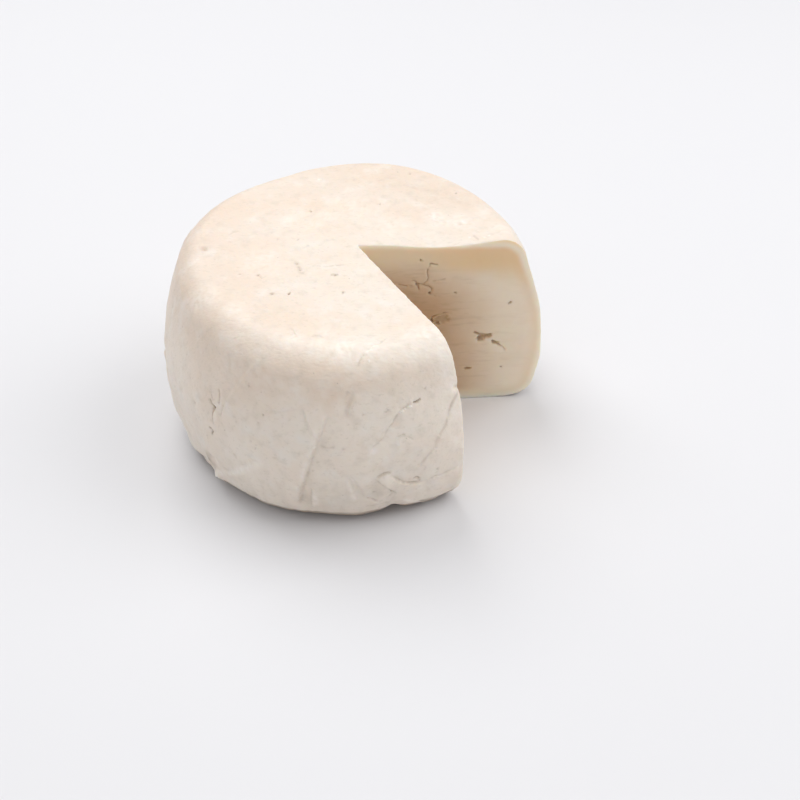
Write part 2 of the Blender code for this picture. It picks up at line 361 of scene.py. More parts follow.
LEDGE_SHARE, LEDGE_FADE = 0.6, 2.6 * MM  # what is left of a ledge, and where it dies away

creases = []
for *pixels, width, depth, ledge, tone in SEEN_CREASES:
    line, outward = line_through([seen_on_wheel(pixel) for pixel in pixels])
    creases.append((line, outward, width * MM, depth * MM, ledge * MM, tone))

# The rest of the side was out of sight: pleats of the same kind, slanting up from the foot
cloth = random.Random(11)
between, one_of = cloth.uniform, cloth.choice
UNSEEN_FROM, UNSEEN_TO = 14, 194
PLEATS_ROUND = 22
for pleat in range(PLEATS_ROUND):
    share = (pleat + between(0.15, 0.85)) / PLEATS_ROUND
    azimuth = UNSEEN_FROM + (UNSEEN_TO - UNSEEN_FROM) * share
    low = between(5, 26)
    high = min(low + between(12, 34), 58)
    lean = one_of((-1, 1)) * between(2, 16)
    bow = between(-4, 4)
    points = []
    for t in (0, 0.2, 0.4, 0.6, 0.8, 1):
        turn = azimuth + lean * (t - 0.5) + bow * math.sin(math.pi * t) + between(-1.2, 1.2)
        points.append(on_side(turn, low + (high - low) * t))
    line, outward = line_through(points, 4 * MM)
    width = one_of((0.45, 0.5, 0.8, 1.2)) * MM
    depth = between(0.05, 0.3) * MM
    ledge = one_of((-1, 1)) * between(0.3, 0.9) * MM
    creases.append((line, outward, width, depth, ledge, one_of((0, 0.03, 0.06, 0.12))))

# Short cracks on that side too, as round the fork
UNSEEN_CRACKS = 7
for crack in range(UNSEEN_CRACKS):
    azimuth, low = between(UNSEEN_FROM, UNSEEN_TO), between(12, 50)
    climb, lean = between(2, 7), between(-5, 5)
    points = [on_side(azimuth + lean * t + between(-0.5, 0.5), low + climb * t) for t in (0, 0.5, 1)]
    line, outward = line_through(points)
    depth, tone = between(0.3, 0.9) * MM, between(0.15, 0.4)
    creases.append((line, outward, 0.36 * MM, depth, 0.3 * MM, tone))

# The next lists start each row with a pixel, across and down. Pits where a bubble broke or the
# rind was touched: half width, depth, and tone, a brown stain that is partly painted shade in the pit
PITS = (
    (204, 249, 1.2, 0.6, 0.2), (311, 212, 0.32, 0.5, 0.7), (258, 275, 0.36, 0.5, 0.6),
    (240, 274, 0.28, 0.3, 0.4), (297, 264, 0.36, 0.3, 0.4), (300, 270, 0.4, 0.3, 0.4),
    (272, 294, 0.42, 0.5, 0.5), (289, 294, 0.32, 0.6, 0.9), (380, 204, 0.28, 0.4, 0.6),
    (456, 193, 0.3, 0.4, 0.7), (335, 275, 0.34, 0.4, 0.5), (343, 292, 0.3, 0.4, 0.7),
    (298, 240, 0.24, 0.3, 0.5), (410, 174, 0.34, 0.3, 0.3), (278, 239, 0.24, 0.2, 0.3),
    (308, 246, 0.24, 0.2, 0.3), (425, 389, 0.36, 0.3, 0.28), (249, 386, 0.42, 0.3, 0.35),
    (263, 415, 0.28, 0.4, 0.42), (258, 423, 0.22, 0.3, 0.2), (255, 449, 0.26, 0.3, 0.25),
    (234, 455, 0.36, 0.3, 0.2), (195, 403, 0.6, 0.3, 0.25), (437, 469, 0.26, 0.4, 0.45),
    (363, 415, 0.3, 0.3, 0.22), (388, 410, 0.3, 0.3, 0.35), (386, 412, 0.3, 0.3, 0.35),
    (214, 407.5, 0.55, 1, 1), (213, 410, 0.45, 0.6, 0.6), (457, 388, 1.2, 1.3, 0),
    (343, 449, 0.4, 0.3, 0.16), (374, 493, 0.4, 0.3, 0.25), (392, 491, 0.45, 0.4, 0.4),
)
# Pale crumbs that stand up on the rind: half width, height
CRUMBS = (
    (411, 406, 0.26, 0.3), (409, 407, 0.28, 0.3), (405, 409, 0.22, 0.25), (402, 411, 0.26, 0.3),
    (400, 412.5, 0.24, 0.25), (314, 447, 0.45, 0.35), (319, 180, 0.45, 0.25), (369, 361, 0.35, 0.15),
    (470, 238, 0.35, 0.2), (484, 239.5, 0.35, 0.25), (489, 238, 0.3, 0.2),
)
# Places where the rind is pale, partly rubbed and partly a painted highlight on the shoulder and
# edges, where the peach is strongest, and where shade is painted on, in recesses and low on the
# side: breadth, how much
RUBBED_AND_HIGHLIGHTED = (
    (196, 262, 3.5, 0.35), (236, 308, 4, 0.45), (243, 319, 3, 0.4), (258, 331, 3.5, 0.2),
    (276, 338, 3.5, 0.2), (296, 342, 4, 0.55), (320, 347, 4.5, 0.7), (345, 350, 5.5, 0.9),
    (372, 350, 5, 0.8), (398, 352, 4.5, 0.6), (425, 348, 5, 0.6), (443, 352, 5, 0.8),
    (323, 332, 3, 0.45), (434, 216, 3.5, 0.7), (446, 221, 3, 0.6), (462, 221, 4.5, 0.7),
    (482, 213, 3.5, 0.4), (470, 217, 3, 0.2), (426, 232, 5, 0.35), (500, 232, 4, 0.5),
    (300, 216, 4.5, 0.4), (290, 221, 3.5, 0.4), (336, 203, 4, 0.3), (330, 216, 4.5, 0.4),
    (452, 385, 4, 0.6), (457, 410, 3.5, 0.6), (459, 440, 3.5, 0.6), (457, 466, 3.5, 0.45),
    (430, 338, 6, 0.9), (412, 352, 5, 0.8), (445, 366, 4, 0.6), (221, 472, 1.7, 1.6),
    (397, 443, 1.8, 0.7), (373, 451, 1.5, 0.8), (421, 489, 1.5, 0.6), (356, 482, 2, 0.5),
    (434, 484, 5, 0.45), (412, 340, 5, 0.5), (232, 362, 7, 0.35), (262, 374, 7, 0.35),
    (290, 390, 6, 0.25), (200, 300, 6, 0.5), (322, 398, 7, 0.2), (354, 207, 7, 0.45),
    (390, 228, 7, 0.4), (310, 225, 6, 0.35), (262, 262, 8, 0.45),
)
BLUSHED = (
    (458, 200, 7, 0.8), (440, 196, 6, 0.5), (470, 208, 5, 0.5), (490, 225, 5, 0.3),
    (265, 385, 9, 0.5), (328, 388, 8, 1.2), (343, 404, 5, 0.8), (300, 378, 9, 0.6),
    (240, 352, 8, 0.25), (406, 385, 6, 0.25), (396, 425, 1.4, 0.7), (438, 441, 1.6, 0.6),
    (411, 484, 2.4, 0.5), (284, 386, 6, 0.7), (420, 206, 5, 0.4), (312, 392, 5, 0.5),
)
# Patches of painted shade
SHADED_PATCHES = (
    (209, 456, 2.4, 1.3), (214, 463, 1.8, 1.3), (304, 500, 2.2, 0.6), (310, 484, 2.4, 0.15),
    (316, 462, 2.4, 0.12), (321, 448, 2, 0.3), (390, 503, 2.4, 0.6), (396, 487, 2.4, 0.25),
    (372, 488, 3, 0.15), (380, 494, 2, 0.4), (384, 486, 1.6, 0.3), (336, 500, 6, 0.12),
)
pits = [(seen_on_wheel(pixel), width * MM, depth * MM, tone) for *pixel, width, depth, tone in PITS]
UNSEEN_PITS = 24
for pit in range(UNSEEN_PITS):
    place = on_side(between(UNSEEN_FROM, UNSEEN_TO), between(6, 60))
    size = between(0.24, 0.42) * MM
    pits.append((place, size, between(0.2, 0.5) * MM, between(0.15, 0.4)))
crumbs = [(seen_on_wheel(pixel), width * MM, height * MM) for *pixel, width, height in CRUMBS]

# Foot: the cloth was gathered under it, which left tucks and chips in its edge. Each has its
# azimuth and half its width in degrees, then how deep (below nought, how far out) and how high
SWOLLEN_TUCKS = (
    (-142, 13, -0.6, 16), (-157, 4.5, -0.9, 12), (-119, 8, -0.8, 7), (-90.5, 4, -0.8, 6),
    (-66, 2.6, -0.7, 6),
)
SHARP_TUCKS = (
    (-78.3, 2.6, 2.2, 6), (-82.5, 1.2, 0.3, 4), (-109.5, 0.8, 1.5, 3), (-123.5, 0.9, 2, 3),
    (-120.5, 0.9, -0.5, 3), (-116, 1.5, 0.4, 3), (-148.9, 1.7, 1.2, 8), (-144.2, 1.3, 1.6, 8),
    (-146.4, 0.9, -0.5, 6), (-140.9, 1, 1.2, 7), (-142.4, 0.8, -0.5, 5), (-138.4, 1.2, 0.6, 9),
    (-136.6, 1, -0.4, 5),
)
UNSEEN_TUCKS_APART = 10

tucks = [*SWOLLEN_TUCKS, *SHARP_TUCKS]
for turn in range(UNSEEN_FROM, UNSEEN_TO, UNSEEN_TUCKS_APART):
    turned, width = turn + between(-5, 5), between(0.8, 3.0)
    depth, reach = between(0.2, 0.9), between(4, 9)
    tucks.append((turned, width, depth, reach))


def tuck_depth(azimuth, height, tuck):
    """How deep a tuck presses the foot in at each place."""
    turn, width, depth, reach = tuck
    gap = turned_from(azimuth, turn)
    return depth * MM * bell(gap / width) * bell(height / (reach * MM))


def gap_to(places, middle):
    """How far each place is from a point."""
    return np.linalg.norm(places - np.array(middle), axis=1)


SHARP_TUCKS_UP_TO = 6 * MM
TUCK_SHOWS_FROM = 0.2 * MM
# The faces close to the marks are halved, again close to thin ones, and again close to thin dark
# ones, so that the grooves are real shape: how near, the widest mark, the least brown
HALVINGS = (
    (1.5 * MM, 0.75 * MM, -1), (0.8 * MM, 0.48 * MM, -1), (0.35 * MM, 0.4 * MM, 0.7),
)
for reach, widest, brownest in HALVINGS:
    places = places_of(wheel)
    close = np.zeros(len(places), bool)
    for line, outward, width, depth, ledge, tone in creases:
        if width < widest and tone >= brownest:
            close[across_line(places, line, outward, reach)[0]] = True
    for middle, width, depth, tone in pits + [(*crumb, 0) for crumb in crumbs]:
        if tone > brownest:
            close[gap_to(places, middle) < width + reach / 2] = True
    turned = np.arctan2(places[:, 1] - WHEEL_AXIS.y, places[:, 0] - WHEEL_AXIS.x)
    at_foot = (places[:, 2] < SHARP_TUCKS_UP_TO) & (places[:, 2] > 0)
    for tuck in SHARP_TUCKS:
        close |= at_foot & (np.abs(tuck_depth(turned, places[:, 2], tuck)) > TUCK_SHOWS_FROM)
    picked = [e for e in wheel.edges if close[e.verts[0].index] and close[e.verts[1].index]]
    split_edges(wheel, picked)


def noise_at(places, size, seed, octaves=3):
    """Soft noise about -1 to 1, with lumps of the size given along X, Y and Z."""
    scale = np.array(size) if np.ndim(size) else np.full(3, size)
    rows = places / scale + seed
    return np.array([noise.fractal(row, 1.0, 2.0, octaves) for row in rows.tolist()])


def crease_relief(places, line, outward, width, depth, ledge, seed):
    """How far one crease raises or presses the places near it, and which they are."""
    near, across, share = across_line(places, line, outward, CREASE_REACH)
    across = across + LINE_WANDER * noise_at(places[near], 1.8 * MM, seed, 2)
    ends = np.clip(np.minimum(share, 1 - share) * 5, 0, 1)
    ends = ends * ends * (3 - 2 * ends)
    uneven = np.clip(0.75 + noise_at(places[near], 3.5 * MM, seed + 9, 2), 0.2, 1.4)
    groove = -depth * np.exp(-np.abs(across / width) ** 1.6) * uneven
    rise = ledge * np.tanh(across / (0.7 * width)) * np.exp(-np.abs(across) / LEDGE_FADE)
    rise *= np.clip((CREASE_REACH - np.abs(across)) / (2 * MM), 0, 1)
    return near, (groove + LEDGE_SHARE * rise) * ends


places = places_of(wheel)
normals = np.array([v.normal for v in wheel.verts])
from_axis = places - np.array(WHEEL_AXIS)
height = places[:, 2]
azimuth = np.arctan2(from_axis[:, 1], from_axis[:, 0])
out = np.hypot(from_axis[:, 0], from_axis[:, 1])
steep = 1 - np.clip(np.abs(normals[:, 2]), 0, 1)
off_base = np.clip(height / (1.5 * MM), 0, 1)

# Broad unevenness from the hands and the press, then the cloth's ripples on the side, which
# run up and down, and its short creases, which lie where a soft noise passes through nothing
UNEVENNESS = 0.3 * MM
RIPPLES = 0.3 * MM
SKIN_GRAIN = 0.05 * MM
CLOTH_LEAN, CLOTH_STRETCH = 3, 0.45
SHORT_CREASES = ((13 * MM, 51, 0.36 * MM), (7 * MM, 77, 0.22 * MM))  # apart, seed, height

relief = UNEVENNESS * noise_at(places, 24 * MM, seed=3.1, octaves=2)
leaned = azimuth + height * CLOTH_LEAN
drawn_out = height * CLOTH_STRETCH
unrolled = np.column_stack((np.cos(leaned) * RADIUS, np.sin(leaned) * RADIUS, drawn_out))
relief += RIPPLES * steep * noise_at(unrolled, 9 * MM, seed=17, octaves=2)
low_down = np.clip(1.25 - height / (60 * MM), 0.25, 1)
for size, seed, strength in SHORT_CREASES:
    field = noise_at(unrolled, size, seed, 2)
    patchy = np.clip(0.5 + 1.2 * noise_at(places, 15 * MM, seed + 4, 1), 0, 1)
    relief += strength * steep * low_down * patchy * np.tanh(field / 0.1)
    relief -= 0.6 * strength * steep * low_down * patchy * bell(field / 0.05)
relief += SKIN_GRAIN * noise_at(places, 2.6 * MM, seed=5.7, octaves=2)
for number, (line, outward, width, depth, ledge, tone) in enumerate(creases):
    near, amount = crease_relief(places, line, outward, width, depth, ledge, number * CREASE_SEED)
    relief[near] += amount

# Waves of the top: place from the round's axis, how broad, how high
TOP_WAVES = (
    (27, 4, 12, -1), (55, 6, 12, 2), (-42, -18, 9, -0.5), (-20, 30, 14, 0.4), (10, -38, 10, -0.4),
)
for across, back, breadth, rise in TOP_WAVES:
    gap = np.hypot(from_axis[:, 0] - across * MM, from_axis[:, 1] - back * MM) / (breadth * MM)
    relief += rise * MM * bell(gap) * np.clip(height / HEIGHT * 2 - 1, 0, 1)

# Shoulder: the skin is finely wrinkled along the rim
RIM_WRINKLES = 0.09 * MM
rim = bell((height - HEIGHT + 6 * MM) / (7 * MM)) * np.clip((out - 38 * MM) / (8 * MM), 0, 1)
rings = np.column_stack((azimuth * 7, (out - height) / (1.5 * MM), np.zeros(len(places))))
relief += RIM_WRINKLES * rim * noise_at(rings, 1, seed=23)

# Foot: its tucks, and fine folds between them
FOOT_FOLDS = 0.28 * MM
for tuck in tucks:
    relief -= tuck_depth(azimuth, height, tuck) * (out > RADIUS / 2)
foot = np.clip(1 - height / (12 * MM), 0, 1) * np.clip((out - 48 * MM) / (6 * MM), 0, 1)
folds = np.column_stack((np.cos(azimuth) * 8, np.sin(azimuth) * 8, height * 120))
relief += FOOT_FOLDS * foot * noise_at(folds, 1, seed=40)

# Crumpled skin round some of the marks, and soft swellings: pixel, breadth, height
CRUMPLES = (
    (384, 493, 3.5, 0.22), (212, 463, 3, 0.35), (388, 411, 2, 0.15), (280, 336, 8, 0.12),
)
SWELLINGS = ((385, 484, 2.2, 0.7), (220.5, 472.5, 2, 1), (405, 476, 2.5, 0.3))
CRUMPLE_DEPTH = 1.6
for *pixel, breadth, strength in CRUMPLES:
    gap = gap_to(places, seen_on_wheel(pixel)) / (breadth * MM)
    near = np.flatnonzero(gap < 2)
    ridges = np.abs(noise_at(places[near], 3.2 * MM, seed=61))
    furrows = 1 - np.clip(ridges * 4, 0, 1)
    relief[near] -= strength * MM * bell(gap[near]) * furrows * CRUMPLE_DEPTH
for *pixel, breadth, rise in SWELLINGS:
    relief += rise * MM * bell(gap_to(places, seen_on_wheel(pixel)) / (breadth * MM))

for middle, width, depth, tone in pits:
    relief -= depth * bell(gap_to(places, middle) / width)
for middle, width, rise in crumbs:
    relief += rise * np.exp(-((gap_to(places, middle) / width) ** 4))

relief *= off_base
marked = places + normals * relief[:, None]
marked[:, 2] = np.maximum(marked[:, 2], 0)
move_to(wheel, marked)
unmarked = places


# ----------------------------------------------------------
# The notch. A knife cut it in two strokes, which meet near the middle of the round, and the
# paste shows: smooth and close, with a few torn openings and cracks, and knife drag.

NOTCH_POINT = WHEEL_AXIS + Vector((1.9 * MM, 3.23 * MM, 0))
FRONT_CUT = -58.9
BACK_CUT = 1.6
KNIFE_REACH = 90 * MM
KNIFE_BELOW = 8 * MM
KNIFE_FACES = 110

cutter = bmesh.new()
corners = [NOTCH_POINT]
corners += [NOTCH_POINT + heading(turn) * KNIFE_REACH for turn in (FRONT_CUT, BACK_CUT)]
low = Vector((0, 0, -KNIFE_BELOW))
foot_face = cutter.faces.new([cutter.verts.new(corner + low) for corner in corners])
block = bmesh.ops.extrude_face_region(cutter, geom=[foot_face])
raised = [item for item in block["geom"] if isinstance(item, bmesh.types.BMVert)]
bmesh.ops.translate(cutter, verts=raised, vec=(0, 0, KNIFE_REACH))
split_edges(cutter, edges_along(cutter, 2), KNIFE_FACES)
level = [e for e in cutter.edges if abs((e.verts[0].co - e.verts[1].co).z) < TINY]
split_edges(cutter, level, KNIFE_FACES)
bmesh.ops.recalc_face_normals(cutter, faces=cutter.faces)

# Openings: millimetres along the cut from its inner end and up from the base, half width,
# half height, depth, and turn in degrees
FRONT_OPENINGS = (
    (29.3, 38.6, 4.2, 2.6, 4.5, -8), (32.6, 37.6, 2.2, 1.2, 3, -40), (13.4, 30, 1.7, 2.6, 2.6, 20),
    (18, 33.6, 2.4, 1, 2.2, 12), (21.8, 33.2, 3.4, 1.9, 1.2, -14), (6.6, 19.6, 1.2, 0.8, 1.2, 0),
    (11.5, 19, 0.6, 0.5, 1, 0), (22.1, 16.1, 1.1, 0.5, 1.2, 10), (31.8, 9.8, 2.2, 0.7, 1.6, 12),
    (5, 49.9, 0.4, 0.8, 0.9, 0), (10.9, 50, 0.5, 0.4, 0.7, 0), (35.3, 33.3, 1.6, 0.35, 0.7, -28),
    (38, 46.3, 0.7, 0.4, 0.5, 0),
)
BACK_OPENINGS = (
    (21.1, 61.2, 0.85, 0.36, 0.9, -45), (24.8, 59.4, 0.75, 0.42, 1, 0),
    (20, 51.2, 0.7, 0.65, 0.9, 20), (24.2, 47.2, 0.6, 0.6, 1, 0), (17.7, 45, 0.35, 0.3, 0.6, 0),
    (28.3, 35.8, 3.2, 2.1, 0.5, 8), (25, 35.4, 0.45, 0.95, 1.3, 12), (26.9, 34.2, 1, 0.7, 1, -20),
    (43.5, 27.5, 3, 1.5, 2.6, 18), (47.5, 25, 1.6, 0.8, 1.8, -30), (38, 13.8, 1.4, 0.6, 1.2, 8),
    (52.5, 42, 0.8, 0.5, 0.9, 30), (12, 22, 1, 0.6, 1.2, 15), (50, 14, 0.5, 0.5, 0.8, 0),
    (33, 47, 0.5, 0.4, 0.7, 0),
)
# Cracks: points along and up in millimetres, width, depth
FRONT_CRACKS = (
    ((6.2, 40.4), (8, 39.8), (10.4, 39), 0.35, 0.6),
    ((25, 41.2), (26.4, 40.2), (27.6, 39.4), 0.5, 1.2),
    ((32.2, 44.4), (31.8, 42), (31.6, 39.8), 0.4, 1),
    ((13, 33), (11, 35), (9.6, 37.2), 0.3, 0.5),
    ((14.6, 31.4), (16.2, 32.6), (18, 33.6), 0.5, 0.9),
)
BACK_CRACKS = (
    ((24.8, 59.4), (24.1, 58), (23.5, 56.3), (23.6, 54.7), (23.8, 53.5), (23.4, 52.2), (22.3, 51.5),
     0.24, 0.45),
    ((22.3, 51.5), (20.1, 51.2), (19.4, 52.5), (18.3, 52.7), 0.28, 0.6),
    ((20, 51.1), (18.1, 50.8), (15.7, 51), (13.5, 51.5), 0.24, 0.45),
    ((20.1, 51), (20.3, 49.2), 0.28, 0.6),
    ((21.6, 51.2), (23.7, 50.2), (24.7, 49.3), (24.6, 47.8), 0.26, 0.5),
    ((24.8, 59.5), (26.8, 58.9), 0.24, 0.5),
    ((25.4, 52.1), (27.4, 52.6), (29.5, 52.8), 0.22, 0.25),
    ((25, 46.4), (27.6, 45.6), (30.6, 45.2), 0.22, 0.25),
    ((24.9, 35.8), (25, 36.9), (26.8, 38), (29.2, 38.5), (31.6, 38.3), 0.3, 0.7),
    ((40.2, 29.6), (42, 28.6), (43.5, 27.5), 0.4, 0.9),
    ((47.8, 24.8), (50.2, 23), (51.2, 21.6), 0.35, 0.8),
)


def opening_depth(along, up, opening):
    """Depth of one torn opening: a steep-sided hollow with a ragged brim."""
    middle_along, middle_up, half_width, half_height, depth, turn = opening
    a, u = along / MM - middle_along, up / MM - middle_up
    c, s = math.cos(math.radians(turn)), math.sin(math.radians(turn))
    a, u = (a * c + u * s) / half_width, (u * c - a * s) / half_height
    bearing = np.arctan2(u, a)
    brim = 1 + 0.16 * np.sin(3 * bearing + middle_up) + 0.12 * np.sin(5 * bearing + middle_along)
    brim += 0.07 * np.sin(9 * bearing + 2 * middle_up)
    distance = np.hypot(a, u) / brim
    fall = np.clip((1.08 - distance) / 0.5, 0, 1)
    return depth * MM * fall * fall * (3 - 2 * fall)


CRACK_WANDER = 0.25  # millimetres


def crack_depth(along, up, crack):
    """Depth of one crack, from its points, width and depth."""
    *points, width, depth = crack
    places = np.column_stack((along, up)) / MM
    rows = np.column_stack((along, up, np.full(len(along), depth)))
    astray = [noise_at(rows, 2.4 * MM, seed, 2) for seed in (7, 70)]
    places += CRACK_WANDER * np.column_stack(astray)
    broken = np.clip(0.85 + 1.3 * noise_at(rows, 3 * MM, seed=31, octaves=2), 0.1, 1.3)
    nearest = np.full(len(places), np.inf)
    for start, stop in zip(points, points[1:]):
        start, stop = np.array(start), np.array(stop)
        way = stop - start
        share = np.clip((places - start) @ way / (way @ way), 0, 1)
        gap = np.linalg.norm(places - start - share[:, None] * way, axis=1)
        nearest = np.minimum(nearest, gap)
    return depth * MM * broken * bell(nearest / width)


def cut_depth(along, up, openings, cracks):
    """How deep the openings and cracks of a cut go at each place."""
    depth = np.zeros(len(along))
    for opening in openings:
        depth = np.maximum(depth, opening_depth(along, up, opening))
    for crack in cracks:
        depth = np.maximum(depth, crack_depth(along, up, crack))
    return depth


CUTS = (
    (heading(FRONT_CUT), heading(FRONT_CUT - 90), FRONT_OPENINGS, FRONT_CRACKS, 2),
    (heading(BACK_CUT), heading(BACK_CUT + 90), BACK_OPENINGS, BACK_CRACKS, 9),
)


def on_cut(places, run, into, within=TINY):
    """Which places lie within reach of a cut's plane, and how far along it and up."""
    flat = places - np.array(NOTCH_POINT)
    lies = np.abs(flat @ np.array(into)) < within
    return np.flatnonzero(lies), (flat @ np.array(run))[lies], places[lies, 2]


CUT_HALVINGS = 2
OPENING_SHOWS_FROM = 0.04 * MM
for halving in range(CUT_HALVINGS):
    places = places_of(cutter)
    close = np.zeros(len(places), bool)
    for run, into, openings, cracks, seed in CUTS:
        lies, along, up = on_cut(places, run, into)
        depth = cut_depth(along, up, openings, cracks)
        close[lies[depth > OPENING_SHOWS_FROM]] = True
    picked = [e for e in cutter.edges if close[e.verts[0].index] or close[e.verts[1].index]]
    split_edges(cutter, picked)

# The stroke bows in a little, and the blade left its drag, a grain and soft lumps
BOW, DRAG, GRAIN, LUMPS = 0.5 * MM, 0.1 * MM, 0.05 * MM, 0.12 * MM

places = places_of(cutter)
moved = places.copy()
for run, into, openings, cracks, seed in CUTS:
    lies, along, up = on_cut(places, run, into)
    inside = np.clip(along / (2 * MM), 0, 1)
    bow = BOW * np.sin(np.pi * along / RADIUS) * np.sin(np.pi * up / HEIGHT)
    rows = np.column_stack((along, up, np.full(len(along), seed * MM)))
    drag = DRAG * noise_at(rows, (30 * MM, 2.2 * MM, 1), seed)
    grain = GRAIN * noise_at(rows, 1.6 * MM, seed + 3)
    lumps = LUMPS * noise_at(rows, 9 * MM, seed + 7, octaves=2)
    depth = bow + inside * (drag + grain + lumps + cut_depth(along, up, openings, cracks))
    moved[lies] += depth[:, None] * np.array(into)
move_to(cutter, moved)


def object_of(shape, name):
    """A linked object made from a bmesh."""
    mesh = bpy.data.meshes.new(name)
    shape.to_mesh(mesh)
    shape.free()
    return linked(name, mesh)


PASTE_SLOT = 1  # of the rind's material and the paste's, the cut faces take the second
for face in cutter.faces:
    face.material_index = PASTE_SLOT
knife = object_of(cutter, "knife")
uncut = object_of(wheel, "uncut")


# ----------------------------------------------------------
# Finish. The rind is dry, waxy and ivory, with peach patches and pale rubbed streaks, and with
# painted shade and painted highlights on it. The paste is white to ivory, and a few millimetres
# under the rind it has dried to a yellower, more glassy band; towards the heart of the round it
# is painted tan as shade.

class Finish:
    """A material, with short ways to add its nodes."""

    def __init__(self, name):
        self.material = bpy.data.materials.new(name)
        self.material.use_nodes = True
        self.tree = self.material.node_tree
        self.surface = self.tree.nodes["Principled BSDF"]

    def add(self, kind, links=(), **settings):
        """A node with its settings, and links as (input, output socket or value)."""
        made = self.tree.nodes.new("ShaderNode" + kind)
        for key, value in settings.items():
            setattr(made, key, value)
        for key, value in links:
            if isinstance(value, bpy.types.NodeSocket):
                self.tree.links.new(value, made.inputs[key])
            else:
                made.inputs[key].default_value = value
        return made

    def place(self):
        """X, Y and Z of a point of the piece. The noises are read at that point too."""
        self.where = self.add("TexCoord").outputs["Object"]
        return self.add("SeparateXYZ", (("Vector", self.where),)).outputs

    def noise(self, size, detail=3.0, stretch=(1, 1, 1)):
        """Noise from 0 to 1 with lumps of a size in metres, drawn out along an axis."""
        spread = self.add("Mapping", (("Vector", self.where), ("Scale", stretch)))
        links = (("Vector", spread.outputs[0]), ("Scale", 1 / size), ("Detail", detail))
        return self.add("TexNoise", links).outputs["Fac"]

    def ramp(self, value, low, high):
        """0 below one value and 1 above another, smoothly between."""
        links = (("Value", value), ("From Min", low), ("From Max", high))
        return self.add("MapRange", links, interpolation_type="SMOOTHSTEP", clamp=True).outputs[0]

    def mix(self, share, one, other):
        """A blend of two colours."""
        links = ((0, share), (6, one), (7, other))
        return self.add("Mix", links, data_type="RGBA").outputs[2]

    def sum(self, operation, one, other):
        """One sum of two values."""
        return self.add("Math", ((0, one), (1, other)), operation=operation).outputs[0]

    def times(self, one, other):
        """One value times the other."""
        return self.sum("MULTIPLY", one, other)

    def glaze(self, colour, tint, cover, strength):
        """A colour under a tint, which covers it from 0 to 1 and is weakened by its strength."""
        return self.mix(self.times(cover, strength), colour, tint)

    def kept(self, name):
        """A value kept with each point of the mesh."""
        return self.add("Attribute", attribute_name=name).outputs["Fac"]

    def coat(self, colour, grain, strength, depth):
        """Gives the surface its colour and its finest grain."""
        self.tree.links.new(colour, self.surface.inputs["Base Color"])
        bump = self.add("Bump", (("Height", grain), ("Strength", strength), ("Distance", depth)))
        self.tree.links.new(bump.outputs[0], self.surface.inputs["Normal"])


LIGHT_SPREAD = (1.0, 0.62, 0.34)  # red light goes furthest in, blue light the least
WAXY_SHEEN = 0.35


def set_sockets(shader, values):
    """Sets what is the same all over on a shader's own sockets."""
    for name, value in values.items():
        shader.inputs[name].default_value = value


def cheese_light(finish, weight, reach, roughness):
    """Soft light through the cheese: how much of it, how deep it goes, and the sheen on top."""
    set_sockets(finish.surface, {
        "Subsurface Weight": weight, "Subsurface Radius": LIGHT_SPREAD,
        "Subsurface Scale": reach, "Roughness": roughness, "Specular IOR Level": WAXY_SHEEN,
    })


IVORY = (0.85, 0.765, 0.675, 1)
SIDE_IVORY = (0.892, 0.802, 0.704, 1)
PEACH = (0.845, 0.7, 0.572, 1)
BLUSH_AND_SHADE = (0.775, 0.625, 0.505, 1)
PALE = (0.88, 0.83, 0.77, 1)
SIDE_BLUSH = (0.86, 0.708, 0.57, 1)
STREAK = (0.58, 0.5, 0.4, 1)
PATCH_SHADE_GREY = (0.56, 0.49, 0.4, 1)
CRACK_BROWN_AND_SHADE = (0.25, 0.165, 0.1, 1)
CRUMB_AND_HIGHLIGHT_WHITE = (0.97, 0.895, 0.815, 1)

rind = Finish("rind")
x, y, z = rind.place()
# Peach comes in clouds. It is strongest on the top, towards its left; towards the back of the top
# the blush is partly painted shade, darkening the part that the lamp behind lights most
behind = rind.ramp(y, -15 * MM, 62 * MM)
leftward = rind.ramp(x, 10 * MM, -60 * MM)
billows = rind.sum("SUBTRACT", rind.noise(26 * MM, 4), 0.5)
level = rind.sum("ADD", z, rind.times(billows, 34 * MM))
upper = rind.ramp(level, 30 * MM, 68 * MM)
blush = rind.times(rind.sum("MAXIMUM", behind, leftward), upper)
clouds = rind.ramp(rind.noise(17 * MM, 5, (0.8, 1.2, 1)), 0.34, 0.72)
on_top = rind.sum("ADD", 0.32, rind.times(upper, 0.44))
ground = rind.mix(rind.ramp(level, 46 * MM, 68 * MM), SIDE_IVORY, IVORY)
colour = rind.glaze(ground, PEACH, clouds, on_top)
# Blush, which towards the back of the top is painted shade
colour = rind.glaze(colour, BLUSH_AND_SHADE, blush, strength=0.62)
colour = rind.mix(rind.kept("blush"), colour, rind.mix(upper, SIDE_BLUSH, BLUSH_AND_SHADE))
# Painted shade in patches, in recesses and low on the side
colour = rind.mix(rind.kept("patch_shade"), colour, PATCH_SHADE_GREY)
flakes = rind.ramp(rind.noise(7 * MM, 9, (1, 1.1, 1)), 0.5, 0.78)
colour = rind.glaze(colour, PALE, flakes, strength=0.5)
smudges = rind.ramp(rind.noise(4 * MM, 8, (1, 1.1, 1)), 0.48, 0.78)
colour = rind.glaze(colour, STREAK, smudges, strength=0.26)
# The cloth's folds left the lower side faintly striped, up and down
lower = rind.ramp(z, 34 * MM, 12 * MM)
stripes = rind.ramp(rind.noise(6 * MM, 3, (1, 1, 0.12)), 0.42, 0.66)
colour = rind.glaze(colour, STREAK, rind.times(stripes, lower), strength=0.16)
